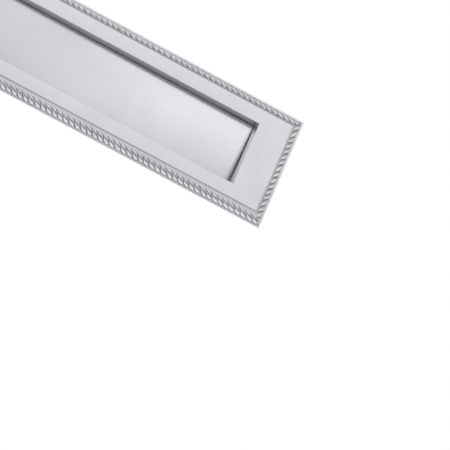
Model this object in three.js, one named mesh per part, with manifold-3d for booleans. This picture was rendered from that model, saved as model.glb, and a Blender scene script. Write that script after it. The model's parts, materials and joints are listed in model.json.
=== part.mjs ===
// Letter plate with a rope border and a sprung flap that opens inwards.
//
// Millimetres. X runs along the plate, Z is up, and the door is on the +Y side.
// The origin is the middle of the back rim, in the plane that lies on the door (y = 0),
// so the front of the plate looks along -Y.

import * as THREE from "three";
import { mergeVertices } from "three/addons/utils/BufferGeometryUtils.js";
import Module from "manifold-3d";

const wasm = await Module();
wasm.setup();

// ---------------------------------------------------------------- driving dimensions

const PLATE = {
  length: 280,
  height: 80,
  thickness: 6.2, // back rim to the flat face
  sheet: 3, // wall behind the flat face
  rim: 8.4, // width of the flat back rim
  pocketDraft: 7, // degrees, on the pocket's outer wall
};

const BORDER = {
  edge: 0.7, // height of the thin outer edge
  ropeRadius: 3.3,
  ropeIn: 4.5, // outer edge to the rope's axis
  ropeAxis: 1.1, // height of that axis over the back rim
  ropeFrom: -5, // degrees, the part of the rope that shows, from its outer foot
  ropeTo: 106,
  bevel: 45, // degrees, between the rope and the flat face
  bevelTop: 7.35, // outer edge to where the bevel would meet the flat face
  bevelRound: 2.2,
  ropeSteps: 12,
  roundSteps: 6,
};

const APERTURE = {
  length: 221,
  height: 45.5,
  depth: 5.8, // flat face to the back of the skirt
  draft: 8, // degrees, narrowing towards the back
  skirt: 2.2, // wall thickness of the skirt
};

const FLAP = {
  length: 227,
  thickness: 2.2,
  frontY: -5.7, // front face, from the hinge axis
  topZ: -2.9, // upper edge, below the hinge axis
  overlapBelow: 4.6, // beyond the aperture's lower edge
  restTilt: 2.8, // degrees: the buffers hold the lower edge back
  edgeRound: 0.5,
};

const HINGE = {
  y: 6.3,
  z: 27,
  rodRadius: 1.9,
  runningGap: 0.1, // radial
  knuckleRadius: 3.7,
  knuckleLength: 12,
  knuckleInset: 3, // knuckle's outer end, from the flap's end
};

const BRACKET = {
  earX: 116, // inner face of the ear
  sheet: 1.6,
  height: 8.4,
  footLength: 15,
  footY: -1.65, // plane on which the foot is seated
};

const SPRING = {
  wire: 1.1,
  turns: 6,
  rodClearance: 0.45,
  legLength: 16, // along the back of the flap
  footAngle: 35, // degrees above level, of the leg that bears on the plate
  endGap: 1.6, // from the knuckle
  stepsPerTurn: 10,
  sides: 6,
};

const CLIP = { radius: 4.2, thickness: 0.8, x: 118, tail: 1.4 };
const SCREW = {
  shank: 1.4,
  length: 2.8, // into the plate
  headRadius: 2.5,
  headHeight: 1.7,
  firstX: 6.3, // from the ear's inner face
  spacing: 5.9,
  slotWidth: 0.7,
  slotDepth: 0.7,
};
const BUFFER = { length: 14, width: 2, x: 92, flapGap: 0.3 };
const STUD = { x: 124.5, z: 0, radius: 2.5, length: 61.5, bossRadius: 5.2, engagement: 4.5, gap: 0.06 };
const DOOR = { thickness: 44 };
const WASHER = { radius: 7.5, thickness: 1.2, boreGap: 0.4 };
const NUT = { acrossFlats: 8, height: 4.2 };

const SEAT = 0.05; // gap left between pieces that touch
const COLOUR = { plate: 0xd6d6da, flap: 0xd0d0d5, zinc: 0xb9bbbd, steel: 0xc9cacc, rubber: 0x26272a };

// ---------------------------------------------------------------- materials

const satinChrome = () =>
  new THREE.MeshStandardMaterial({ color: COLOUR.plate, metalness: 1, roughness: 0.32 });
const satinFlap = () =>
  new THREE.MeshStandardMaterial({ color: COLOUR.flap, metalness: 1, roughness: 0.34 });
const zincSteel = () =>
  new THREE.MeshStandardMaterial({ color: COLOUR.zinc, metalness: 1, roughness: 0.42 });
const steel = () =>
  new THREE.MeshStandardMaterial({ color: COLOUR.steel, metalness: 1, roughness: 0.3 });
const rubber = () =>
  new THREE.MeshStandardMaterial({ color: COLOUR.rubber, metalness: 0, roughness: 0.8 });

// ---------------------------------------------------------------- geometry helpers

const rad = THREE.MathUtils.degToRad;

// A bare indexed geometry: positions only, with shared vertices merged.
function bare(geometry) {
  const g = geometry.clone();
  for (const name of ["normal", "uv"]) if (g.getAttribute(name)) g.deleteAttribute(name);
  return mergeVertices(g, 1e-4);
}

function solid(geometry) {
  const g = bare(geometry);
  return new wasm.Manifold(
    new wasm.Mesh({
      numProp: 3,
      vertProperties: Float32Array.from(g.getAttribute("position").array),
      triVerts: Uint32Array.from(g.index.array),
    }),
  );
}

function geometryOf(body) {
  const mesh = body.getMesh();
  const g = new THREE.BufferGeometry();
  g.setAttribute("position", new THREE.BufferAttribute(Float32Array.from(mesh.vertProperties), 3));
  g.setIndex(new THREE.BufferAttribute(Uint32Array.from(mesh.triVerts), 1));
  g.computeVertexNormals();
  return g;
}

const join = (...parts) => parts.reduce((a, b) => a.add(b));
const cut = (body, ...tools) => tools.reduce((a, b) => a.subtract(b), body);

function box(x0, x1, y0, y1, z0, z1) {
  const g = new THREE.BoxGeometry(x1 - x0, y1 - y0, z1 - z0);
  return g.translate((x0 + x1) / 2, (y0 + y1) / 2, (z0 + z1) / 2);
}

// Cylinder along X from x0 to x1, or along Y from y0 to y1.
function rodX(radius, x0, x1, y, z, sides = 24) {
  const g = new THREE.CylinderGeometry(radius, radius, x1 - x0, sides);
  return g.rotateZ(-Math.PI / 2).translate((x0 + x1) / 2, y, z);
}

function rodY(radius, y0, y1, x, z, sides = 20) {
  const g = new THREE.CylinderGeometry(radius, radius, y1 - y0, sides);
  return g.translate(x, (y0 + y1) / 2, z);
}

// Joins a closed run of rectangles, each { x, z, y }, into one solid with a hole through it.
function rectangleLoft(rings) {
  const position = rings.flatMap(({ x, z, y }) => [x, y, z, -x, y, z, -x, y, -z, x, y, -z]);
  const index = [];
  rings.forEach((_, i) => {
    const next = (i + 1) % rings.length;
    for (let side = 0; side < 4; side++) {
      const turn = (side + 1) % 4;
      const [a, b, c, d] = [i * 4 + side, i * 4 + turn, next * 4 + turn, next * 4 + side];
      index.push(a, b, c, a, c, d);
    }
  });
  const g = new THREE.BufferGeometry();
  g.setAttribute("position", new THREE.Float32BufferAttribute(position, 3));
  g.setIndex(index);
  return g;
}

// Extrudes an outline of [y, z] points along X from x0 to x1.
function profileX(points, x0, x1) {
  const shape = new THREE.Shape(points.map(([y, z]) => new THREE.Vector2(y, z)));
  const g = new THREE.ExtrudeGeometry(shape, { depth: x1 - x0, bevelEnabled: false });
  return g.rotateX(Math.PI / 2).rotateZ(Math.PI / 2).translate(x0, 0, 0);
}

function named(name, geometry, material) {
  const mesh = new THREE.Mesh(geometry, material);
  mesh.name = name;
  return mesh;
}

// ---------------------------------------------------------------- derived places

const halfLength = PLATE.length / 2;
const halfHeight = PLATE.height / 2;
const faceY = -PLATE.thickness;
const pocketY = faceY + PLATE.sheet;
const skirtY = faceY + APERTURE.depth;
const flapBottomZ = -APERTURE.height / 2 - FLAP.overlapBelow - HINGE.z; // from the hinge axis
const knuckleOuter = FLAP.length / 2 - HINGE.knuckleInset;
const knuckleInner = knuckleOuter - HINGE.knuckleLength;

const SIDES = [-1, 1];
const sideName = (side) => (side < 0 ? "left" : "right");
const span = (side, a, b) => [Math.min(side * a, side * b), Math.max(side * a, side * b)];
const screwX = (n) => BRACKET.earX + SCREW.firstX + n * SCREW.spacing;

// ---------------------------------------------------------------- front plate

// Outline of the border, from the outer edge inwards: [distance in, height over the back rim].
// A thin edge, the rounded rope, and the bevel that rises from it and rounds into the flat face.
function borderOutline() {
  const { edge, ropeRadius, ropeIn, ropeAxis, ropeFrom, ropeTo, bevelTop, bevelRound } = BORDER;
  const rope = Array.from({ length: BORDER.ropeSteps + 1 }, (_, i) => {
    const a = rad(ropeFrom + ((ropeTo - ropeFrom) * i) / BORDER.ropeSteps);
    return [ropeIn - ropeRadius * Math.cos(a), ropeAxis + ropeRadius * Math.sin(a)];
  });
  const bevel = rad(BORDER.bevel);
  const roundIn = bevelTop + bevelRound * Math.tan(bevel / 2);
  const round = Array.from({ length: BORDER.roundSteps + 1 }, (_, i) => {
    const a = bevel * (1 - i / BORDER.roundSteps);
    return [roundIn - bevelRound * Math.sin(a), PLATE.thickness - bevelRound * (1 - Math.cos(a))];
  });
  return [[0, edge], ...rope, ...round];
}

// The whole casting as one run of rectangles: rim, border, face, aperture, skirt and pocket.
function plateShell() {
  const pocketLean = Math.tan(rad(PLATE.pocketDraft)) * (PLATE.thickness - PLATE.sheet);
  const narrow = -Math.tan(rad(APERTURE.draft)) * APERTURE.depth;
  const outline = (inset, y) => ({ x: halfLength - inset, z: halfHeight - inset, y });
  const opening = (grow, y) => ({
    x: APERTURE.length / 2 + grow,
    z: APERTURE.height / 2 + grow,
    y,
  });
  return rectangleLoft([
    outline(0, 0),
    ...borderOutline().map(([inset, height]) => outline(inset, -height)),
    opening(0, faceY),
    opening(narrow, skirtY),
    opening(narrow + APERTURE.skirt, skirtY),
    opening(narrow + APERTURE.skirt, pocketY),
    outline(PLATE.rim + pocketLean, pocketY),
    outline(PLATE.rim, 0),
  ]);
}

// A seat for one bracket, tapped for its two screws, and a tapped boss for one stud.
function addFixings(body, side) {
  const root = pocketY - 0.5;
  const [x0, x1] = span(side, BRACKET.earX, halfLength - PLATE.rim);
  const z0 = HINGE.z - BRACKET.height / 2;
  const pad = box(x0, x1, root, BRACKET.footY - SEAT, z0, halfHeight - PLATE.rim);
  const boss = rodY(STUD.bossRadius, root, -SEAT, side * STUD.x, STUD.z);
  const tapped = rodY(STUD.radius + STUD.gap, -STUD.engagement - SEAT, 1, side * STUD.x, STUD.z);
  const screwEnd = BRACKET.footY - SCREW.length;
  const screwHoles = [0, 1].map((n) =>
    solid(rodY(SCREW.shank + SEAT, screwEnd, 0, side * screwX(n), HINGE.z, 12)),
  );
  return cut(join(body, solid(pad), solid(boss)), solid(tapped), ...screwHoles);
}

function frontPlate() {
  const body = SIDES.reduce(addFixings, solid(plateShell()));
  return named("front_plate", geometryOf(body), satinChrome());
}

// ---------------------------------------------------------------- flap, in the hinge's own frame

// A quarter circle about (y, z), from one angle on.
function quarter(y, z, radius, from, steps = 3) {
  return Array.from({ length: steps + 1 }, (_, i) => {
    const a = rad(from + (90 * i) / steps);
    return [y + radius * Math.cos(a), z + radius * Math.sin(a)];
  });
}

// Arm that joins a knuckle to the back of the flap, as [y, z] points.
function armOutline() {
  const buried = FLAP.frontY + FLAP.thickness * 0.6;
  const r = HINGE.knuckleRadius;
  return [
    [buried, FLAP.topZ - r * 2.4],
    [r * 0.92, -r * 0.38],
    [-r * 0.55, r * 0.82],
    [buried, FLAP.topZ - 0.4],
  ];
}

function flap() {
  const front = FLAP.frontY;
  const back = front + FLAP.thickness;
  const r = FLAP.edgeRound;
  const section = [
    ...quarter(front + r, flapBottomZ + r, r, 180),
    ...quarter(back - r, flapBottomZ + r, r, 270),
    ...quarter(back - r, FLAP.topZ - r, r, 0),
    ...quarter(front + r, FLAP.topZ - r, r, 90),
  ];
  let body = solid(profileX(section, -FLAP.length / 2, FLAP.length / 2));
  for (const side of SIDES) {
    const [x0, x1] = span(side, knuckleInner, knuckleOuter);
    const knuckle = rodX(HINGE.knuckleRadius, x0, x1, 0, 0, 32);
    const bore = rodX(HINGE.rodRadius + HINGE.runningGap, x0 - 1, x1 + 1, 0, 0, 32);
    body = cut(join(body, solid(profileX(armOutline(), x0, x1)), solid(knuckle)), solid(bore));
  }
  const mesh = named("flap", geometryOf(body), satinFlap());
  mesh.position.set(0, HINGE.y, HINGE.z);
  mesh.rotation.x = rad(FLAP.restTilt);
  return mesh;
}

// Rubber pad on the back of the skirt, below the aperture, that stops the flap.
function buffer(side) {
  const [x0, x1] = span(side, BUFFER.x, BUFFER.x + BUFFER.length);
  const skirtEdge = -APERTURE.height / 2 + Math.tan(rad(APERTURE.draft)) * APERTURE.depth;
  const z1 = skirtEdge - 0.1;
  const flapY = HINGE.y + FLAP.frontY + Math.tan(rad(FLAP.restTilt)) * (HINGE.z - z1);
  const pad = box(x0, x1, skirtY + SEAT, flapY - BUFFER.flapGap, z1 - BUFFER.width, z1);
  return named(`buffer_${sideName(side)}`, pad, rubber());
}

// ---------------------------------------------------------------- hinge

function hingeRod() {
  const end = CLIP.x + CLIP.thickness + CLIP.tail;
  return named("hinge_rod", rodX(HINGE.rodRadius, -end, end, HINGE.y, HINGE.z, 32), steel());
}

// Pressed angle: a foot on the plate's seat and an ear that carries the rod.
function bracket(side) {
  const [e0, e1] = span(side, BRACKET.earX, BRACKET.earX + BRACKET.sheet);
  const [f0, f1] = span(side, BRACKET.earX, BRACKET.earX + BRACKET.footLength);
  const half = BRACKET.height / 2;
  const [z0, z1] = [HINGE.z - half, HINGE.z + half];
  const foot = box(f0, f1, BRACKET.footY, BRACKET.footY + BRACKET.sheet, z0, z1);
  const ear = box(e0, e1, BRACKET.footY, HINGE.y, z0, z1);
  const nose = rodX(half, e0, e1, HINGE.y, HINGE.z, 32);
  const rodHole = rodX(HINGE.rodRadius + SEAT, e0 - 1, e1 + 1, HINGE.y, HINGE.z, 32);
  const screwHoles = [0, 1].map((n) =>
    solid(rodY(SCREW.shank + 0.2, BRACKET.footY - 1, 1, side * screwX(n), HINGE.z, 12)),
  );
  const body = cut(join(solid(foot), solid(ear), solid(nose)), solid(rodHole), ...screwHoles);
  return named(`bracket_${sideName(side)}`, geometryOf(body), zincSteel());
}

// Slotted round-head screw, turned about Y with its head towards the door.
function bracketScrew(side, n) {
  const tip = BRACKET.footY - SCREW.length + 0.3;
  const seatY = BRACKET.footY + BRACKET.sheet + SEAT;
  const topY = seatY + SCREW.headHeight;
  const outline = [
    [0, tip],
    [SCREW.shank, tip],
    [SCREW.shank, seatY],
    [SCREW.headRadius, seatY],
    [SCREW.headRadius, seatY + SCREW.headHeight * 0.5],
    [SCREW.headRadius * 0.7, topY],
    [0, topY],
  ].map(([r, y]) => new THREE.Vector2(r, y));
  const turned = solid(new THREE.LatheGeometry(outline, 12));
  const reach = SCREW.headRadius + 1;
  const half = SCREW.slotWidth / 2;
  const slot = solid(box(-half, half, topY - SCREW.slotDepth, topY + 1, -reach, reach));
  const place = n === 0 ? "inner" : "outer";
  const mesh = named(`bracket_screw_${sideName(side)}_${place}`, geometryOf(cut(turned, slot)), steel());
  mesh.position.set(side * screwX(n), 0, HINGE.z);
  return mesh;
}

function rodClip(side) {
  const [x0, x1] = span(side, CLIP.x, CLIP.x + CLIP.thickness);
  const disc = solid(rodX(CLIP.radius, x0, x1, HINGE.y, HINGE.z, 24));
  const bore = solid(rodX(HINGE.rodRadius + SEAT, x0 - 1, x1 + 1, HINGE.y, HINGE.z, 32));
  return named(`rod_clip_${sideName(side)}`, geometryOf(cut(disc, bore)), steel());
}

// Centre line of a torsion spring about X. One leg runs down the back of the flap from the
// front of the coil. The other leaves under the coil and slopes up and forwards to the plate.
class TorsionSpring extends THREE.Curve {
  constructor(side, coilRadius) {
    super();
    this.side = side;
    this.r = coilRadius;
    this.startAngle = rad(180 + FLAP.restTilt);
    this.endAngle = rad(180 + 90 - SPRING.footAngle - 360 * SPRING.turns);
    const footStartY = HINGE.y + coilRadius * Math.cos(this.endAngle);
    const footEndY = pocketY + SPRING.wire * 0.75;
    this.foot = (footStartY - footEndY) / Math.cos(rad(SPRING.footAngle));
    this.coil = coilRadius * (this.startAngle - this.endAngle);
    this.total = SPRING.legLength + this.coil + this.foot;
  }

  // Point on the coil at a share of its turns, pushed along its tangent by a distance.
  onCoil(share, beyond) {
    const a = this.startAngle + (this.endAngle - this.startAngle) * share;
    const travel = (SPRING.wire * 1.15 * SPRING.turns) * share;
    return new THREE.Vector3(
      this.side * (knuckleInner - SPRING.endGap - travel),
      this.r * Math.cos(a) + beyond * Math.sin(a),
      this.r * Math.sin(a) - beyond * Math.cos(a),
    );
  }

  getPoint(t) {
    const s = t * this.total;
    if (s < SPRING.legLength) return this.onCoil(0, s - SPRING.legLength);
    if (s > SPRING.legLength + this.coil) return this.onCoil(1, s - SPRING.legLength - this.coil);
    return this.onCoil((s - SPRING.legLength) / this.coil, 0);
  }
}

function spring(side) {
  const curve = new TorsionSpring(side, HINGE.rodRadius + SPRING.rodClearance + SPRING.wire / 2);
  const wire = new THREE.Shape(
    Array.from({ length: SPRING.sides }, (_, i) => {
      const a = (2 * Math.PI * i) / SPRING.sides;
      return new THREE.Vector2(Math.cos(a), Math.sin(a)).multiplyScalar(SPRING.wire / 2);
    }),
  );
  const steps = Math.round((curve.total / curve.coil) * SPRING.turns * SPRING.stepsPerTurn);
  const g = new THREE.ExtrudeGeometry(wire, { steps, extrudePath: curve, bevelEnabled: false });
  const mesh = named(`spring_${sideName(side)}`, g, steel());
  mesh.position.set(0, HINGE.y, HINGE.z);
  return mesh;
}

// ---------------------------------------------------------------- fixings through the door

function fixingStud(side) {
  const y0 = -STUD.engagement;
  const g = rodY(STUD.radius, y0, y0 + STUD.length, side * STUD.x, STUD.z);
  return named(`fixing_stud_${sideName(side)}`, g, zincSteel());
}

// Disc with a bore on the stud, from y0 on: round for a washer, hexagonal for a nut.
function onStud(name, side, radius, y0, height, sides) {
  const disc = solid(rodY(radius, y0, y0 + height, side * STUD.x, STUD.z, sides));
  const bore = solid(rodY(STUD.radius + WASHER.boreGap, y0 - 1, y0 + height + 1, side * STUD.x, STUD.z));
  return named(`${name}_${sideName(side)}`, geometryOf(cut(disc, bore)), zincSteel());
}

function clampSet(side) {
  const washerY = DOOR.thickness + SEAT;
  const nutY = washerY + WASHER.thickness + SEAT;
  const nutRadius = NUT.acrossFlats / Math.sqrt(3);
  return [
    onStud("washer", side, WASHER.radius, washerY, WASHER.thickness, 32),
    onStud("nut", side, nutRadius, nutY, NUT.height, 6),
  ];
}

// ---------------------------------------------------------------- assembly

const letterPlate = new THREE.Group();
letterPlate.add(frontPlate(), flap(), hingeRod());
for (const side of SIDES) {
  letterPlate.add(bracket(side), bracketScrew(side, 0), bracketScrew(side, 1), rodClip(side));
  letterPlate.add(spring(side), buffer(side), fixingStud(side), ...clampSet(side));
}

export default letterPlate;
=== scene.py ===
import json
from math import cos, pi, radians, sin, tan

import bmesh
import bpy
import numpy as np
from mathutils import Matrix, Vector


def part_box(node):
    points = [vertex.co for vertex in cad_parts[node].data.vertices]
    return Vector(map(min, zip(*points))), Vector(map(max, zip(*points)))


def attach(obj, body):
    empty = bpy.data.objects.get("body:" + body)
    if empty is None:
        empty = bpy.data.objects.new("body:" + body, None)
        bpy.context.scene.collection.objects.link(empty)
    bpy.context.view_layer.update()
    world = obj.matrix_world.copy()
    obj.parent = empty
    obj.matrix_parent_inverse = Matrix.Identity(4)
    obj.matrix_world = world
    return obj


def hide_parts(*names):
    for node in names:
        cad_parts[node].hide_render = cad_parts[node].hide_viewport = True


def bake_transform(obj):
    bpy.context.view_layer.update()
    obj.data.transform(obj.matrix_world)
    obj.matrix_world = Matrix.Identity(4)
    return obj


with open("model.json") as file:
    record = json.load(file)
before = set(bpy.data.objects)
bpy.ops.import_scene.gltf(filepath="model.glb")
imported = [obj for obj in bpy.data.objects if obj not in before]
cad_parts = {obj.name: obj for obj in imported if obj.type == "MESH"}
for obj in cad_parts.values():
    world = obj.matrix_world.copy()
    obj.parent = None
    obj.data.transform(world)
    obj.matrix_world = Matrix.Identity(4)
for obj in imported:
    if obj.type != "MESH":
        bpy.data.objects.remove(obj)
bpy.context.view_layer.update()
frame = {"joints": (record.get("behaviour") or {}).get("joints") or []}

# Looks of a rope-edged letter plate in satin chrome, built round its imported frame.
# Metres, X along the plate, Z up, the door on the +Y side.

MM = 0.001

# ------------------------------------------------------------------ dimensions

HALF_LENGTH, _, HALF_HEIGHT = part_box("front_plate")[1]
THICKNESS = 6.2 * MM  # back rim to the flat face
FACE_Y = -THICKNESS
SHEET = 3.0 * MM  # flat face to the pocket behind it
POCKET_Y = FACE_Y + SHEET
POCKET_DRAFT = tan(radians(7))
RIM = 8.4 * MM  # width of the back rim

EDGE = 0.7 * MM  # height of the thin outer edge
ROPE_IN = 4.5 * MM  # rope's axis, from the outer edge
ROPE_AXIS = 1.1 * MM  # and its height over the back rim
ROPE_RADIUS = 3.3 * MM
ROPE_FROM, ROPE_TO = radians(-5), radians(106)  # part of the rope that shows, from its outer foot
BEVEL_TOP = 7.35 * MM  # outer edge to where the field's bevel would meet the face
BEVEL = radians(45)
BEVEL_ROUND = 2.2 * MM
BEVEL_STEPS = 8
STRAND_PITCH = 4.4 * MM  # from strand to strand along the border
STRAND_GROOVE = 1.0 * MM
STRAND_SWEEP = 4.0 * MM  # how far a strand runs along the border from the rope's foot to the bevel
STRAND_CURVE = 0.55  # share of that run which grows with the square of the height climbed
# Two slow waves that shift the strands, each as (size in radians, length, start in radians).
STRAND_DRIFT = ((0.34, 31.3 * MM, 0), (0.2, 12.7 * MM, 1.3))

APERTURE_X = 110.5 * MM
APERTURE_Z = 22.75 * MM
APERTURE_DEPTH = 5.8 * MM
APERTURE_DRAFT = tan(radians(8))
SKIRT = 2.2 * MM  # thickness of the wall round the aperture
SKIRT_Y = FACE_Y + APERTURE_DEPTH

HINGE = Vector(frame["joints"][0]["pos_m"])
ROD_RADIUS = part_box("hinge_rod")[1].z - HINGE.z
FLAP_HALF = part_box("flap")[1].x
FLAP_THICKNESS = 2.2 * MM
FLAP_FRONT = -5.7 * MM  # from the hinge axis, before the flap is tilted
FLAP_TOP = -2.9 * MM
FLAP_BOTTOM = -APERTURE_Z - 4.6 * MM - HINGE.z
FLAP_TILT = radians(2.8)
KNUCKLE_RADIUS = 3.7 * MM
KNUCKLE_OUTER = FLAP_HALF - 3.0 * MM
KNUCKLE_INNER = KNUCKLE_OUTER - 12.0 * MM

SCREW_SHANK = 1.4 * MM
SCREW_TURN = {"inner": radians(24), "outer": radians(-38)}  # where each slot stopped
SPRING_WIRE = 1.1 * MM
SPRING_TURNS = 6
SPRING_SPREAD = 1.15  # from turn to turn, in thicknesses of the wire
SPRING_LEG = 16.0 * MM
SPRING_CLEARANCE = 0.45 * MM  # between the rod and the coil
SPRING_END_GAP = 1.6 * MM  # from the knuckle to the first turn
SPRING_FOOT_ANGLE = radians(35)

GAP = 0.05 * MM  # left between surfaces that would touch
BURIED = 0.5 * MM  # how far a seat or boss reaches into the casting
SIDES = {"left": -1, "right": 1}


# ------------------------------------------------------------------ mesh helpers

def finish_mesh(obj, sharp=30):
    """Merges doubles, turns the normals out and shades smooth between sharp edges."""
    same_place, no_length = 1e-7, 1e-8
    bm = bmesh.new()
    bm.from_mesh(obj.data)
    bmesh.ops.remove_doubles(bm, verts=bm.verts, dist=same_place)
    bmesh.ops.dissolve_degenerate(bm, edges=bm.edges, dist=no_length)
    bmesh.ops.recalc_face_normals(bm, faces=bm.faces)
    bm.to_mesh(obj.data)
    bm.free()
    obj.data.shade_smooth()
    obj.data.set_sharp_from_angle(angle=radians(sharp))
    return obj


def make(name, points, faces, sharp=30):
    mesh = bpy.data.meshes.new(name)
    mesh.from_pydata([tuple(p) for p in points], [], faces)
    obj = bpy.data.objects.new(name, mesh)
    bpy.context.scene.collection.objects.link(obj)
    return finish_mesh(obj, sharp)


def grid_faces(rings, count, closed):
    """Quads between neighbouring rings of count points. If closed, the last ring joins the first."""
    faces = []
    for i in range(rings if closed else rings - 1):
        for j in range(count):
            k, m = (i + 1) % rings, (j + 1) % count
            faces.append((i * count + j, i * count + m, k * count + m, k * count + j))
    return faces


def tube(name, rings, sharp=30):
    """A closed body through rings of points, with its two ends capped."""
    rings = np.asarray(rings)
    rows, cols = rings.shape[:2]
    faces = grid_faces(rows, cols, closed=False)
    faces.append(tuple(range(cols)))
    faces.append(tuple((rows - 1) * cols + j for j in reversed(range(cols))))
    return make(name, rings.reshape(-1, 3), faces, sharp)


def turned(name, outline, axis, centre, segments):
    """Turns a closed outline of (radius, along) about an axis, "X" or "Y", through centre."""
    points = []
    for k in range(segments):
        a = 2 * pi * k / segments
        for r, h in outline:
            c, s = r * cos(a), r * sin(a)
            points.append((h, c, s) if axis == "X" else (s, h, c))
    faces = grid_faces(segments, len(outline), closed=True)
    return make(name, [Vector(p) + Vector(centre) for p in points], faces)


def drill(axis, centre, radius, low, high, segments):
    """A plain cylinder to cut a hole with."""
    return turned("drill", [(0, low), (radius, low), (radius, high), (0, high)], axis, centre, segments)


def arc(centre, radius, start, end, steps=5):
    """Points of an arc, angles in degrees."""
    angles = [radians(start + (end - start) * i / steps) for i in range(steps + 1)]
    return [(centre[0] + radius * cos(a), centre[1] + radius * sin(a)) for a in angles]


def rounded_outline(half_u, half_v, radius, steps=5):
    """Outline of a rounded rectangle about (0, 0)."""
    corners = [(1, 1, 0), (-1, 1, 90), (-1, -1, 180), (1, -1, 270)]
    return [
        p
        for u, v, start in corners
        for p in arc((u * (half_u - radius), v * (half_v - radius)), radius, start, start + 90, steps)
    ]


def extruded(name, outline, low, high, place):
    """Extrudes an outline of (u, v) from low to high. place(u, v, w) gives the point."""
    return tube(name, [[place(u, v, w) for u, v in outline] for w in (low, high)])


def bake(obj, sharp=30):
    """Replaces the mesh by the one its modifiers make."""
    graph = bpy.context.evaluated_depsgraph_get()
    old = obj.data
    obj.data = bpy.data.meshes.new_from_object(obj.evaluated_get(graph))
    obj.modifiers.clear()
    bpy.data.meshes.remove(old)
    return finish_mesh(obj, sharp)


def combine(obj, tool, operation, sharp=30):
    """Joins or cuts obj with tool, which is used up."""
    modifier = obj.modifiers.new(operation, "BOOLEAN")
    modifier.operation = operation
    modifier.solver = "EXACT"
    modifier.object = tool
    bake(obj, sharp)
    bpy.data.objects.remove(tool)
    return obj


def soften(obj, width, segments=2, limit=35):
    """Rounds the edges sharper than limit degrees."""
    modifier = obj.modifiers.new("soften", "BEVEL")
    modifier.width = width
    modifier.segments = segments
    modifier.limit_method = "ANGLE"
    modifier.angle_limit = radians(limit)
    bake(obj)


def middle_and_half(node_name):
    """Middle and half size of the box of a frame's node."""
    low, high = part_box(node_name)
    return (low + high) / 2, (high - low) / 2


def finish_piece(obj, name, body, replaced, slot, *materials):
    """Names a piece, adds its materials, puts it under its body and hides the node it stands for. Its slot
    is not used.
    """
    obj.name = name
    for material in materials:
        obj.data.materials.append(material)
    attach(obj, body)
    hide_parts(replaced)


# ------------------------------------------------------------------ materials

def nodes_of(name, metallic=0):
    material = bpy.data.materials.new(name)
    material.use_nodes = True
    tree = material.node_tree
    shader = tree.nodes["Principled BSDF"]
    shader.inputs["Metallic"].default_value = metallic
    return material, tree, shader


def node(tree, kind, inputs=None, **settings):
    made = tree.nodes.new(kind)
    for key, value in settings.items():
        setattr(made, key, value)
    for key, value in (inputs or {}).items():
        made.inputs[key].default_value = value
    return made


def noise(tree, scale, detail=3.0, rough=0.5, stretch=(1, 1, 1)):
    """Noise in object space. A factor under 1 draws it out along that axis. Gives its Fac socket."""
    place = node(tree, "ShaderNodeTexCoord")
    mapping = node(tree, "ShaderNodeMapping", {"Scale": stretch})
    texture = node(tree, "ShaderNodeTexNoise", {"Scale": scale, "Detail": detail, "Roughness": rough})
    tree.links.new(place.outputs["Object"], mapping.inputs["Vector"])
    tree.links.new(mapping.outputs["Vector"], texture.inputs["Vector"])
    return texture.outputs["Fac"]


def ranged(tree, source, low, high, start=0.3, end=0.7):
    """Maps a socket's values from start to end onto low to high."""
    made = node(
        tree,
        "ShaderNodeMapRange",
        {"From Min": start, "From Max": end, "To Min": low, "To Max": high},
    )
    tree.links.new(source, made.inputs["Value"])
    return made.outputs["Result"]


def tint(tree, source, dark, light):
    """Mixes two colours by a 0 to 1 socket."""
    made = node(tree, "ShaderNodeMix", {"A": (*dark, 1), "B": (*light, 1)}, data_type="RGBA")
    tree.links.new(source, made.inputs["Factor"])
    return made.outputs["Result"]


def coat(tree, shader, drift, dark, light, gloss, roughness):
    """Colour between dark and light by the drift noise, and a range of roughness by the gloss noise."""
    tree.links.new(tint(tree, ranged(tree, drift, 0, 1), dark, light), shader.inputs["Base Color"])
    tree.links.new(ranged(tree, gloss, *roughness), shader.inputs["Roughness"])


def bump(tree, shader, *layers):
    """Chains bump nodes, one for each (height socket, distance, strength)."""
    previous = None
    for height, distance, strength in layers:
        made = node(tree, "ShaderNodeBump", {"Distance": distance, "Strength": strength})
        tree.links.new(height, made.inputs["Height"])
        if previous:
            tree.links.new(previous, made.inputs["Normal"])
        previous = made.outputs["Normal"]
    tree.links.new(previous, shader.inputs["Normal"])


def satin_chrome(name, dark, light, roughness, stretch=(1, 1, 1), grain=0.5):
    """Satin plating: fine strokes, with a slow drift in colour."""
    material, tree, shader = nodes_of(name, metallic=1)
    strokes = noise(tree, 1500, detail=2, rough=0.6, stretch=stretch)
    drift = noise(tree, 28)
    cloud = noise(tree, 9, detail=2)
    coat(tree, shader, drift, dark, light, strokes, roughness)
    bump(tree, shader, (cloud, 0.3 * MM, 0.05), (strokes, 0.004 * MM, grain))
    return material


def cast_metal(name, dark, light, roughness):
    """Unpolished casting: pitted, dull and uneven."""
    material, tree, shader = nodes_of(name, metallic=1)
    pits = noise(tree, 1600, detail=4, rough=0.7)
    patches = noise(tree, 60, detail=4, rough=0.6)
    coat(tree, shader, patches, dark, light, patches, roughness)
    bump(tree, shader, (patches, 0.3 * MM, 0.3), (pits, 0.06 * MM, 0.7))
    return material


def steel(name, dark, light, roughness, stretch=(1, 1, 1)):
    """Plated or drawn steel: small marks, and patches of colour and gloss."""
    material, tree, shader = nodes_of(name, metallic=1)
    marks = noise(tree, 700, rough=0.6, stretch=stretch)
    patches = noise(tree, 120, rough=0.6)
    coat(tree, shader, patches, dark, light, patches, roughness)
    bump(tree, shader, (marks, 0.02 * MM, 0.4))
    return material


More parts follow.
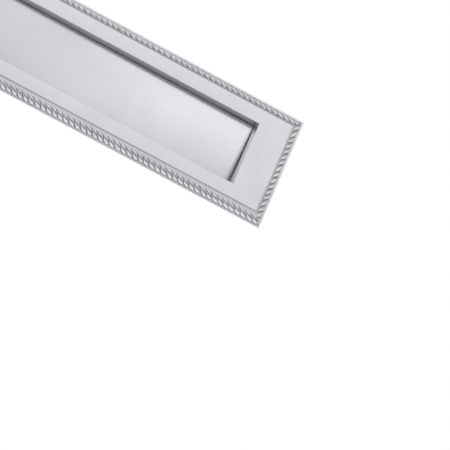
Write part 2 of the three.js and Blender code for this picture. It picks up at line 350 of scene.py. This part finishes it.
def black_rubber(name):
    """Moulded rubber: a fine grain and a faint grey bloom."""
    material, tree, shader = nodes_of(name)
    grain = noise(tree, 2400, rough=0.6)
    bloom = noise(tree, 180, detail=2)
    black, grey = (0.012, 0.012, 0.013), (0.035, 0.035, 0.036)
    coat(tree, shader, bloom, black, grey, bloom, (0.65, 0.85))
    bump(tree, shader, (grain, 0.04 * MM, 0.5))
    return material


UPRIGHT = (1, 1, 0.06)  # strokes up and down the plate
LENGTHWISE = (0.05, 1, 1)  # marks along X, as the rod was drawn

PLATE_FINISH = satin_chrome(
    "satin_plate", dark=(0.68, 0.685, 0.72), light=(0.715, 0.72, 0.755), roughness=(0.28, 0.34),
    stretch=UPRIGHT,
)
ROPE_FINISH = satin_chrome(
    "satin_rope", dark=(0.69, 0.69, 0.715), light=(0.79, 0.79, 0.81), roughness=(0.26, 0.33), grain=0.3,
)
FLAP_FINISH = satin_chrome(
    "satin_flap", dark=(0.665, 0.665, 0.70), light=(0.705, 0.705, 0.74), roughness=(0.17, 0.22),
    stretch=UPRIGHT,
)
CAST_BACK = cast_metal("cast_back", dark=(0.42, 0.42, 0.43), light=(0.58, 0.58, 0.59), roughness=(0.42, 0.6))
ZINC = steel("zinc_plate", dark=(0.52, 0.54, 0.57), light=(0.68, 0.69, 0.70), roughness=(0.28, 0.42))
STEEL = steel(
    "drawn_steel", dark=(0.56, 0.57, 0.58), light=(0.70, 0.70, 0.71), roughness=(0.2, 0.32),
    stretch=LENGTHWISE,
)
SPRING_STEEL = steel(
    "spring_steel", dark=(0.34, 0.35, 0.37), light=(0.5, 0.51, 0.53), roughness=(0.22, 0.34),
)
RUBBER = black_rubber("black_rubber")


# ------------------------------------------------------------------ front plate

def plate_rings():
    """Section of the casting as (half length, half height, y), from the back rim round to the pocket."""
    rings = []

    def outline(inset, y):
        rings.append((HALF_LENGTH - inset, HALF_HEIGHT - inset, y))

    def opening(grow, y):
        rings.append((APERTURE_X + grow, APERTURE_Z + grow, y))

    chamfer = 0.2 * MM
    edge_round, edge_middle = 0.15 * MM, 0.04 * MM
    outline(chamfer, 0)
    outline(0, -chamfer)
    outline(0, -EDGE + edge_round)
    outline(edge_middle, -EDGE + edge_middle)
    outline(edge_round, -EDGE)

    # The bed of the rope, just under the strands' grooves.
    foot_gap, foot_rise = 0.3 * MM, 0.1 * MM
    bed_back, bed_sink, lip_sink = 0.5 * MM, 0.75 * MM, 0.25 * MM
    crest = ROPE_AXIS + ROPE_RADIUS * sin(ROPE_TO)
    inner = ROPE_IN - ROPE_RADIUS * cos(ROPE_TO)
    outline(ROPE_IN - ROPE_RADIUS + foot_gap, -EDGE - foot_rise)
    outline(inner - bed_back, -crest + bed_sink)
    outline(inner, -crest + lip_sink)

    # The bevel, rounded into the flat face.
    reach = BEVEL_ROUND * tan(BEVEL / 2)
    for step in range(BEVEL_STEPS + 1):
        turn = BEVEL * (1 - step / BEVEL_STEPS)
        outline(BEVEL_TOP + reach - BEVEL_ROUND * sin(turn), FACE_Y + BEVEL_ROUND * (1 - cos(turn)))

    # The aperture's rounded front edge, its drafted wall and the back of the skirt.
    edge = 0.22 * MM
    for out, back in ((1, 0), (0.4, 0.1), (0.08, 0.4), (-APERTURE_DRAFT, 1)):
        opening(edge * out, FACE_Y + edge * back)
    narrow = -APERTURE_DEPTH * APERTURE_DRAFT
    wall = narrow + SKIRT
    skirt_edge, draft_rise = 0.3 * MM, 0.04 * MM
    opening(narrow + draft_rise, SKIRT_Y - skirt_edge)
    opening(narrow + skirt_edge, SKIRT_Y)
    opening(wall - skirt_edge, SKIRT_Y)
    opening(wall, SKIRT_Y - skirt_edge)

    # The pocket, with its corners filled, and the inner edge of the back rim.
    root, lean = 0.6 * MM, 0.1 * MM
    opening(wall + lean, POCKET_Y + root)
    opening(wall + lean + root, POCKET_Y)
    pocket_in = RIM + POCKET_DRAFT * (THICKNESS - SHEET)
    corner_across, corner_up = 0.5 * MM, 0.4 * MM
    rim_lean, rim_drop = 0.03 * MM, 0.25 * MM
    outline(pocket_in + corner_across, POCKET_Y)
    outline(pocket_in, POCKET_Y + corner_up)
    outline(RIM + rim_lean, -rim_drop)
    outline(RIM - chamfer, 0)
    return rings


def plate_shell():
    rings = plate_rings()
    corners = ((1, 1), (-1, 1), (-1, -1), (1, -1))
    points = [(x * u, y, z * v) for x, z, y in rings for u, v in corners]
    return make("front_plate_body", points, grid_faces(len(rings), 4, closed=True), 25)


def bracket_seat(name, side):
    """Cast pad under a bracket, tied into the rim."""
    low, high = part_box(f"bracket_{name}")
    inner, outer = sorted((side * min(abs(low.x), abs(high.x)), side * (HALF_LENGTH - RIM)))
    half_u = (outer - inner) / 2
    corner = 1.0 * MM
    outline = rounded_outline(half_u, (HALF_HEIGHT - RIM - low.z) / 2, corner)
    centre = ((inner + outer) / 2, (HALF_HEIGHT - RIM + low.z) / 2)
    return extruded(
        "seat", outline, POCKET_Y - BURIED, low.y - GAP,
        lambda u, v, w: (centre[0] + u, w, centre[1] + v),
    )


def stud_boss(name):
    """Cast boss round a stud, with a blind bore and a fillet at its root."""
    middle, half = middle_and_half(f"fixing_stud_{name}")
    bore = half.x + 0.08 * MM
    bore_end = -4.7 * MM
    radius, fillet = 5.2 * MM, 1.0 * MM
    countersink, edge = 0.4 * MM, 0.3 * MM
    outline = [(bore, bore_end), (bore, -GAP - countersink), (bore + countersink, -GAP)]
    outline += [(radius - edge, -GAP), (radius, -GAP - edge)]
    outline += arc((radius + fillet, POCKET_Y + fillet), fillet, 180, 270, 5)
    outline += [(radius + fillet, POCKET_Y - BURIED), (0, POCKET_Y - BURIED), (0, bore_end)]
    return turned("boss", outline, "Y", (middle.x, 0, middle.z), 40)


def front_plate():
    """The casting. Its pocket and the back of its skirt are left as cast."""
    body = plate_shell()
    for name, side in SIDES.items():
        combine(body, bracket_seat(name, side), "UNION", 25)
        combine(body, stud_boss(name), "UNION", 25)
    finish_piece(body, "front_plate_casting", "plate", "front_plate", "plate", PLATE_FINISH, CAST_BACK)
    past_wall, past_face, near_skirt = SKIRT / 4, 1.0 * MM, 0.2 * MM
    for face in body.data.polygons:
        x, y, z = abs(face.center.x), face.center.y, abs(face.center.z)
        inside = x < HALF_LENGTH - RIM and z < HALF_HEIGHT - RIM
        beyond = x > APERTURE_X + past_wall or z > APERTURE_Z + past_wall
        if inside and (beyond and y > FACE_Y + past_face or y > SKIRT_Y - near_skirt):
            face.material_index = 1


def strand_radius(angle, along):
    """Radius of the rope at an angle round its axis and a place along it.

    Each strand is a rounded ridge that climbs steeply at first and then leans along the border.
    """
    unevenness = sum(size * np.sin(2 * pi * along / length + start) for size, length, start in STRAND_DRIFT)
    up = (angle - ROPE_FROM) / (ROPE_TO - ROPE_FROM)
    shift = STRAND_SWEEP * ((1 - STRAND_CURVE) * up + STRAND_CURVE * up ** 2)
    turn = 2 * pi * (shift - along) / STRAND_PITCH + unevenness
    across = ((turn + pi) % (2 * pi) - pi) / pi  # -1 to 1 over one strand
    round_top = (1 - np.abs(across) ** 3) ** 0.6
    swell, swell_length = 0.02, 9.1 * MM
    fullness = 1 + swell * np.sin(2 * pi * along / swell_length)
    return ROPE_RADIUS * fullness - STRAND_GROOVE * (1 - round_top)


def rope_bar(name, along, outward, half_along, half_out):
    """One side of the rope, mitred at both ends. Its strands run clockwise as they climb inwards."""
    spacing, columns = 0.28 * MM, 25
    under_foot, under_bevel = radians(10), radians(4)
    t = np.linspace(-1, 1, int(2 * half_along / spacing))[:, None]
    showing = np.linspace(ROPE_FROM - under_foot, ROPE_TO + under_bevel, columns)
    hidden = {130: 0.45, 200: 0.1, 300: 0.1}  # angle in degrees: share of the rope's radius
    angle = np.append(showing, np.radians(list(hidden)))[None, :]
    place = t * (half_along - ROPE_IN) + 0 * angle
    for _ in range(3):  # the mitre's place and the radius there depend on each other
        radius = strand_radius(angle, place)
        radius[:, -len(hidden):] = ROPE_RADIUS * np.array(list(hidden.values()))
        place = t * (half_along - ROPE_IN + radius * np.cos(angle))
    out = half_out - ROPE_IN + radius * np.cos(angle)
    rings = place[..., None] * np.array(along) + out[..., None] * np.array(outward)
    rings[..., 1] = -ROPE_AXIS - radius * np.sin(angle)
    return tube(name, rings, 50)


def rope_border():
    """The four bars, each with its direction, its outward side, and how far both reach."""
    long_side, short_side = (HALF_LENGTH, HALF_HEIGHT), (HALF_HEIGHT, HALF_LENGTH)
    bars = {
        "rope_top": ((1, 0, 0), (0, 0, 1), *long_side),
        "rope_right": ((0, 0, -1), (1, 0, 0), *short_side),
        "rope_bottom": ((-1, 0, 0), (0, 0, -1), *long_side),
        "rope_left": ((0, 0, 1), (-1, 0, 0), *short_side),
    }
    for name, place in bars.items():
        finish_piece(rope_bar(name, *place), name, "plate", "front_plate", "plate", ROPE_FINISH)


# ------------------------------------------------------------------ flap

def knuckle_arm():
    """Section of the arm from the flap's back up to a knuckle, as (y, z) from the hinge's axis.

    It starts a little over half way through the flap, and its sides end inside the knuckle.
    """
    buried = FLAP_FRONT + FLAP_THICKNESS * 0.6
    r = KNUCKLE_RADIUS
    return [
        (buried, FLAP_TOP - r * 2.4),
        (r * 0.92, -r * 0.38),
        (-r * 0.55, r * 0.82),
        (buried, FLAP_TOP - 0.4 * MM),
    ]


def knuckle(side):
    """One knuckle with its arm, bored for the rod."""
    low, high = sorted((side * KNUCKLE_INNER, side * KNUCKLE_OUTER))
    r = KNUCKLE_RADIUS
    bore = ROD_RADIUS + 0.12 * MM
    inset, edge = 0.1 * MM, 0.35 * MM
    rib = extruded("arm", knuckle_arm(), low + inset, high - inset, lambda u, v, w: (w, u, v))
    section = [(bore, low + edge), (bore + edge, low), (r - edge, low), (r, low + edge)]
    section += [(r, high - edge), (r - edge, high), (bore + edge, high), (bore, high - edge)]
    barrel = turned("knuckle", section, "X", (0, 0, 0), 56)
    combine(rib, drill("X", (0, 0, 0), bore, low - MM, high + MM, 56), "DIFFERENCE")
    return combine(barrel, rib, "UNION")


def flap():
    """The flap is made about the hinge's axis, then tilted and put on the axis."""
    half_v = (FLAP_TOP - FLAP_BOTTOM) / 2
    middle = (FLAP_TOP + FLAP_BOTTOM) / 2
    corner, edge = 1.2 * MM, 0.3 * MM
    sheet = extruded(
        "flap_plate", rounded_outline(FLAP_HALF, half_v, corner), FLAP_FRONT, FLAP_FRONT + FLAP_THICKNESS,
        lambda u, v, w: (u, w, middle + v),
    )
    soften(sheet, edge, 3)
    for side in SIDES.values():
        combine(sheet, knuckle(side), "UNION")
    sheet.data.transform(Matrix.Translation(HINGE) @ Matrix.Rotation(FLAP_TILT, 4, "X"))
    finish_piece(sheet, "flap_plate", "flap", "flap", "flap", FLAP_FINISH)


# ------------------------------------------------------------------ hinge pieces

def hinge_rod():
    """Rod with its ends chamfered and a groove for each clip."""
    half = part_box("hinge_rod")[1].x
    clip_in, clip_out = (corner.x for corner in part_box("rod_clip_right"))
    r, edge, groove, run_out = ROD_RADIUS, 0.5 * MM, 0.25 * MM, 0.1 * MM
    right = [(r, clip_in), (r - groove, clip_in), (r - groove, clip_out), (r, clip_out + run_out)]
    right += [(r, half - edge), (r - edge, half), (0, half)]
    left = [(radius, -x) for radius, x in reversed(right)]
    rod = turned("rod", left + right, "X", HINGE, 48)
    finish_piece(rod, "hinge_rod_turned", "plate", "hinge_rod", "steel", STEEL)


def bracket(name, side):
    """Pressed angle with a rounded bend, a nose round the rod and two screw holes."""
    low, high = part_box(f"bracket_{name}")
    ear_x, foot_x = sorted((low.x, high.x), key=abs)
    sheet, bend = 1.6 * MM, 0.8 * MM
    nose = (high.z - low.z) / 2
    # Section of the sheet as (away from the ear, y): foot, bend, ear.
    reach = abs(foot_x - ear_x)
    bend_centre = (sheet + bend, low.y + sheet + bend)
    section = [(reach, low.y)] + arc(bend_centre, sheet + bend, 270, 180, 8)
    section += [(0, HINGE.y + nose), (sheet, HINGE.y + nose)]
    section += arc(bend_centre, bend, 180, 270, 6) + [(reach, low.y + sheet)]
    angle = extruded("angle", section, low.z, high.z, lambda u, v, w: (ear_x + side * u, v, w))
    # What stays of the ear, as (y, z): rounded about the rod.
    keep = arc((HINGE.y, HINGE.z), nose, -90, 90, 24) + [(low.y - MM, high.z), (low.y - MM, low.z)]
    start, end = sorted((ear_x - side * MM, foot_x + side * MM))
    combine(angle, extruded("keep", keep, start, end, lambda u, v, w: (w, u, v)), "INTERSECT")
    start, end = sorted((ear_x - side * MM, ear_x + side * 3 * MM))
    combine(angle, drill("X", (0, HINGE.y, HINGE.z), ROD_RADIUS + GAP, start, end, 40), "DIFFERENCE")
    hole_radius = SCREW_SHANK + 0.2 * MM
    for place in SCREW_TURN:
        x = middle_and_half(f"bracket_screw_{name}_{place}")[0].x
        combine(angle, drill("Y", (x, 0, HINGE.z), hole_radius, -4 * MM, 2 * MM, 28), "DIFFERENCE")
    soften(angle, 0.14 * MM, 2)
    finish_piece(angle, f"bracket_{name}_pressed", "plate", f"bracket_{name}", "zinc", ZINC)


def bracket_screw(name, place):
    """Slotted round-head screw. Its head starts at y = 0, just clear of the bracket's foot."""
    node_name = f"bracket_screw_{name}_{place}"
    low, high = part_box(node_name)
    x, z = (low.x + high.x) / 2, (low.z + high.z) / 2
    tip, top, head = low.y, high.y, (high.x - low.x) / 2
    point_length, point_width, head_edge, rim = 0.4 * MM, SCREW_SHANK * 0.7, 0.12 * MM, 0.35 * MM
    rise = np.radians(np.linspace(0, 84, 9))  # up the dome, almost to its middle
    outline = [(0, tip), (point_width, tip), (SCREW_SHANK, tip + point_length), (SCREW_SHANK, 0)]
    outline += [(head - head_edge, 0), (head, head_edge)]
    outline += [(head * cos(a), rim + (top - rim) * sin(a)) for a in rise] + [(0, top)]
    screw = turned("screw", outline, "Y", (x, 0, z), 40)
    reach, half_width, depth = 4 * MM, 0.36 * MM, 0.75 * MM
    c, s = cos(SCREW_TURN[place]), sin(SCREW_TURN[place])
    slot = [(-reach, -half_width), (reach, -half_width), (reach, half_width), (-reach, half_width)]
    cutter = extruded(
        "slot", slot, top - depth, top + MM, lambda u, v, w: (x + u * c - v * s, w, z + u * s + v * c),
    )
    combine(screw, cutter, "DIFFERENCE")
    soften(screw, 0.05 * MM, 2, 50)
    finish_piece(screw, f"{node_name}_turned", "plate", node_name, "steel", STEEL)


def rod_clip(name, side):
    """Push-on washer: a dished disc whose bore has six teeth."""
    low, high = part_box(f"rod_clip_{name}")
    radius = (high.z - low.z) / 2
    bore = ROD_RADIUS + 0.03 * MM
    sheet, near_rim, far_rim = 0.4 * MM, 0.45 * MM, 0.3 * MM
    dish_radius, dish = bore + 1.1 * MM, 0.12 * MM
    tooth_lift, tooth_back, gap_depth = 0.3 * MM, 0.38 * MM, 0.75 * MM
    teeth, tooth_from, segments = 6, -0.55, 96  # a tooth is where the cosine is over tooth_from
    inner_x = low.x if side > 0 else high.x
    points = []
    for k in range(segments):
        a = 2 * pi * k / segments
        inside = bore if cos(teeth * a) > tooth_from else bore + gap_depth
        section = [(inside, tooth_lift), (dish_radius, dish), (radius - near_rim, 0), (radius, 0)]
        section += [(radius, sheet), (radius - far_rim, sheet), (dish_radius, sheet + dish)]
        section += [(inside, sheet + tooth_back)]
        points += [(inner_x + side * h, HINGE.y + r * cos(a), HINGE.z + r * sin(a)) for r, h in section]
    clip = make("clip", points, grid_faces(segments, len(section), closed=True))
    finish_piece(clip, f"rod_clip_{name}_dished", "plate", f"rod_clip_{name}", "steel", STEEL)


def spring_line(side):
    """Centre line of a torsion spring: down the flap's back, round the rod, up to the plate."""
    coil = ROD_RADIUS + SPRING_CLEARANCE + SPRING_WIRE / 2
    start = pi + FLAP_TILT
    end = radians(270) - SPRING_FOOT_ANGLE - 2 * pi * SPRING_TURNS
    x_start = KNUCKLE_INNER - SPRING_END_GAP
    x_end = x_start - SPRING_WIRE * SPRING_SPREAD * SPRING_TURNS

    def on_coil(share, beyond):
        a = start + (end - start) * share
        x = side * (x_start + (x_end - x_start) * share)
        y = HINGE.y + coil * cos(a) + beyond * sin(a)
        return Vector((x, y, HINGE.z + coil * sin(a) - beyond * cos(a)))

    # The wire's middle stops three quarters of its thickness over the pocket's floor.
    foot_depth = HINGE.y + coil * cos(end) - POCKET_Y - SPRING_WIRE * 0.75
    foot = foot_depth / cos(SPRING_FOOT_ANGLE)
    leg_steps, coil_steps, foot_steps = 16, SPRING_TURNS * 28, 10
    points = [on_coil(0, -SPRING_LEG * (1 - i / leg_steps)) for i in range(leg_steps)]
    points += [on_coil(i / coil_steps, 0) for i in range(coil_steps + 1)]
    points += [on_coil(1, foot * (i + 1) / foot_steps) for i in range(foot_steps)]
    return points, side * x_start, side * x_end


def wire_body(name, points, radius):
    """A round wire along points, with its ends rounded over."""
    sides = 14
    turns = [2 * pi * k / sides for k in range(sides)]
    last = len(points) - 1
    tangents = [(points[min(i + 1, last)] - points[max(i - 1, 0)]).normalized() for i in range(last + 1)]
    stations = [(point, tangent, radius) for point, tangent in zip(points, tangents)]
    for width, reach in ((0.88, 0.22), (0.55, 0.4)):  # shares of the wire's radius
        stations.insert(0, (points[0] - tangents[0] * radius * reach, tangents[0], radius * width))
        stations.append((points[last] + tangents[last] * radius * reach, tangents[last], radius * width))
    normal = Vector((1, 0, 0))
    rings = []
    for place, tangent, r in stations:
        normal = (normal - tangent * normal.dot(tangent)).normalized()
        across = tangent.cross(normal)
        rings.append([place + (normal * cos(a) + across * sin(a)) * r for a in turns])
    return tube(name, rings, 40)


def spring(name, side):
    """Torsion spring whose leg lies down the flap's back at rest and whose foot reaches towards the plate.
    """
    points, x_flap, x_plate = spring_line(side)
    body = wire_body("coil", points, SPRING_WIRE / 2)
    body.name = f"spring_{name}_wound"
    body.data.materials.append(SPRING_STEEL)
    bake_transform(body)
    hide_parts(f"spring_{name}")


def buffer(name):
    """Rubber pad that the flap's lower corner rests on."""
    middle, half = middle_and_half(f"buffer_{name}")
    corner, edge = 0.8 * MM, 0.3 * MM
    pad = extruded(
        "pad", rounded_outline(half.x, half.z, corner, 4), -half.y, half.y,
        lambda u, v, w: (middle.x + u, middle.y + w, middle.z + v),
    )
    soften(pad, edge, 3)
    finish_piece(pad, f"buffer_{name}_pad", "plate", f"buffer_{name}", "rubber", RUBBER)


# ------------------------------------------------------------------ fixings

def fixing_stud(name):
    """Threaded rod: the radius follows a thread that runs out at both ends."""
    low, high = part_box(f"fixing_stud_{name}")
    middle, half = middle_and_half(f"fixing_stud_{name}")
    pitch, depth, run_out, chamfer = 0.8 * MM, 0.42 * MM, 0.8 * MM, 0.5 * MM
    flank, crest = 2.6, 0.25  # slope of the thread's sides, and how flat its crest is
    sides, per_turn = 24, 8
    y = np.arange(low.y, high.y, pitch / per_turn)
    y = np.append(y, high.y)[:, None]
    angle = np.linspace(0, 2 * pi, sides, endpoint=False)[None, :]
    phase = (y / pitch - angle / (2 * pi)) % 1
    sunk = np.clip(np.abs(phase - 0.5) * flank - crest, 0, 1)
    whole = np.clip(np.minimum(y - low.y, high.y - y) / run_out, 0, 1)
    r = half.x - depth * sunk * whole - chamfer * (1 - whole)
    x, z = middle.x + r * np.cos(angle), middle.z + r * np.sin(angle)
    stud = tube("stud", np.stack([x, y + 0 * r, z], -1), 60)
    finish_piece(stud, f"fixing_stud_{name}_threaded", "plate", f"fixing_stud_{name}", "zinc", ZINC)


def washer(name):
    """Flat washer, chamfered at all four edges."""
    middle, half = middle_and_half(f"washer_{name}")
    bore = middle_and_half(f"fixing_stud_{name}")[1].x + 0.2 * MM
    radius, up, edge = half.x, half.y, 0.18 * MM
    outline = [(bore, edge - up), (bore + edge, -up), (radius - edge, -up), (radius, edge - up)]
    outline += [(radius, up - edge), (radius - edge, up), (bore + edge, up), (bore, up - edge)]
    disc = turned("disc", outline, "Y", middle, 64)
    finish_piece(disc, f"washer_{name}_flat", "plate", f"washer_{name}", "zinc", ZINC)


def nut(name):
    """Hexagonal nut, chamfered on both faces by the cone of a lathe tool."""
    middle, half = middle_and_half(f"nut_{name}")
    corner, up = max(half.x, half.z), half.y
    hexagon = [(corner * sin(radians(60 * k)), corner * cos(radians(60 * k))) for k in range(6)]
    body = extruded("hexagon", hexagon, -up, up, lambda u, v, w: middle + Vector((u, w, v)))
    bore = middle_and_half(f"fixing_stud_{name}")[1].x + 0.03 * MM
    countersink, slope, margin = 0.35 * MM, 0.55 * MM, 0.05 * MM
    face, beyond = corner * cos(radians(30)) - margin, corner + margin
    outline = [(bore + countersink, -up), (face, -up), (beyond, slope - up)]
    outline += [(beyond, up - slope), (face, up), (bore + countersink, up)]
    outline += [(bore, up - countersink), (bore, countersink - up)]
    combine(body, turned("cone", outline, "Y", middle, 72), "INTERSECT")
    finish_piece(body, f"nut_{name}_hex", "plate", f"nut_{name}", "zinc", ZINC)


# ------------------------------------------------------------------ studio

# The view: a long lens, from below and from the left, turned clockwise.
AZIMUTH = radians(14.818)
ELEVATION = radians(-17.468)
ROLL = radians(23.52)
LENS, SENSOR = 640.04, 36  # millimetres
TARGET = Vector((0.11662, FACE_Y, -0.05106))  # below the plate's right end
DISTANCE = 5.2963


def add_camera():
    data = bpy.data.cameras.new("camera")
    data.lens = LENS
    data.sensor_width = SENSOR
    data.clip_end = 100
    camera = bpy.data.objects.new("camera", data)
    bpy.context.scene.collection.objects.link(camera)
    ahead = cos(ELEVATION)
    forward = Vector((sin(AZIMUTH) * ahead, cos(AZIMUTH) * ahead, -sin(ELEVATION)))
    level = forward.cross(Vector((0, 0, 1))).normalized()
    upright = level.cross(forward)
    right = level * cos(ROLL) + upright * sin(ROLL)
    up = right.cross(forward)
    turn = Matrix((right, up, -forward)).transposed().to_4x4()
    camera.matrix_world = Matrix.Translation(TARGET - forward * DISTANCE) @ turn
    bpy.context.scene.camera = camera


def add_softbox(name, azimuth, elevation, distance, width, height, radiance):
    """Rectangular light that faces the plate. Angles in degrees say where it stands, from the front."""
    data = bpy.data.lights.new(name, "AREA")
    data.shape = "RECTANGLE"
    data.size, data.size_y = width, height
    data.energy = radiance * width * height * pi
    lamp = bpy.data.objects.new(name, data)
    bpy.context.scene.collection.objects.link(lamp)
    a, e = radians(azimuth), radians(elevation)
    place = Vector((sin(a) * cos(e), -cos(a) * cos(e), sin(e))) * distance
    lamp.location = place
    lamp.rotation_euler = place.to_track_quat("Z", "Y").to_euler()


def ramp(tree, source, stops):
    """Colour ramp from a -1 to 1 socket through (place, grey) stops."""
    made = node(tree, "ShaderNodeValToRGB")
    while len(made.color_ramp.elements) < len(stops):
        made.color_ramp.elements.new(0.5)
    for element, (place, grey) in zip(made.color_ramp.elements, stops):
        element.position = (place + 1) / 2
        element.color = (grey, grey, grey, 1)
    tree.links.new(ranged(tree, source, 0, 1, -1, 1), made.inputs["Fac"])
    return made.outputs["Color"]


def add_world():
    """Studio surroundings in greys, the product of one ramp for each axis.

    Brightest just above the horizon, behind and to the left, and darkest just below the horizon.
    The camera itself sees plain white.
    """
    world = bpy.data.worlds.new("studio")
    bpy.context.scene.world = world
    world.use_nodes = True
    tree = world.node_tree
    place = node(tree, "ShaderNodeTexCoord")
    split = node(tree, "ShaderNodeSeparateXYZ")
    tree.links.new(place.outputs["Generated"], split.inputs["Vector"])
    upright = [(-1, 0.8), (-0.8, 0.66), (-0.55, 0.4), (-0.3, 0.17), (-0.15, 0.2)]
    upright += [(0.12, 0.95), (0.3, 1.12), (0.7, 0.9), (1, 0.35)]
    across = [(-1, 1.3), (-0.6, 1.1), (-0.25, 0.68), (0.2, 0.98), (0.35, 1.0), (0.65, 0.72), (1, 0.6)]
    depth = [(-1, 1.0), (-0.3, 1.0), (0.1, 0.8), (0.5, 1.3), (1, 1.9)]
    shade = ramp(tree, split.outputs["Z"], upright)
    for axis, stops in (("X", across), ("Y", depth)):
        product = node(tree, "ShaderNodeMix", {"Factor": 1}, data_type="RGBA", blend_type="MULTIPLY")
        tree.links.new(shade, product.inputs["A"])
        tree.links.new(ramp(tree, split.outputs[axis], stops), product.inputs["B"])
        shade = product.outputs["Result"]
    path = node(tree, "ShaderNodeLightPath")
    mix = node(tree, "ShaderNodeMix", {"B": (1, 1, 1, 1)}, data_type="RGBA")
    tree.links.new(path.outputs["Is Camera Ray"], mix.inputs["Factor"])
    tree.links.new(shade, mix.inputs["A"])
    tree.links.new(mix.outputs["Result"], tree.nodes["Background"].inputs["Color"])


def add_floor():
    """Pale floor, far below the plate."""
    side, front, back, down = 6, -6, 3, -6
    corners = [(-side, front, down), (side, front, down), (side, back, down), (-side, back, down)]
    floor = make("floor", corners, [(0, 1, 2, 3)])
    material, tree, shader = nodes_of("pale_floor")
    shader.inputs["Roughness"].default_value = 0.9
    pale, paler = (0.86, 0.86, 0.86), (0.9, 0.9, 0.9)
    tree.links.new(tint(tree, noise(tree, 3), pale, paler), shader.inputs["Base Color"])
    floor.data.materials.append(material)


# ------------------------------------------------------------------ assembly

add_camera()
add_world()
add_softbox("key", azimuth=30, elevation=35, distance=1.6, width=1.2, height=0.9, radiance=0.14)
add_softbox("low", azimuth=14, elevation=-108, distance=1.6, width=1.8, height=1.9, radiance=0.42)
add_floor()
bpy.context.scene.view_settings.view_transform = "Standard"

front_plate()
rope_border()
flap()
hinge_rod()
for side_name, side_sign in SIDES.items():
    bracket(side_name, side_sign)
    for screw_place in SCREW_TURN:
        bracket_screw(side_name, screw_place)
    rod_clip(side_name, side_sign)
    spring(side_name, side_sign)
    buffer(side_name)
    fixing_stud(side_name)
    washer(side_name)
    nut(side_name)
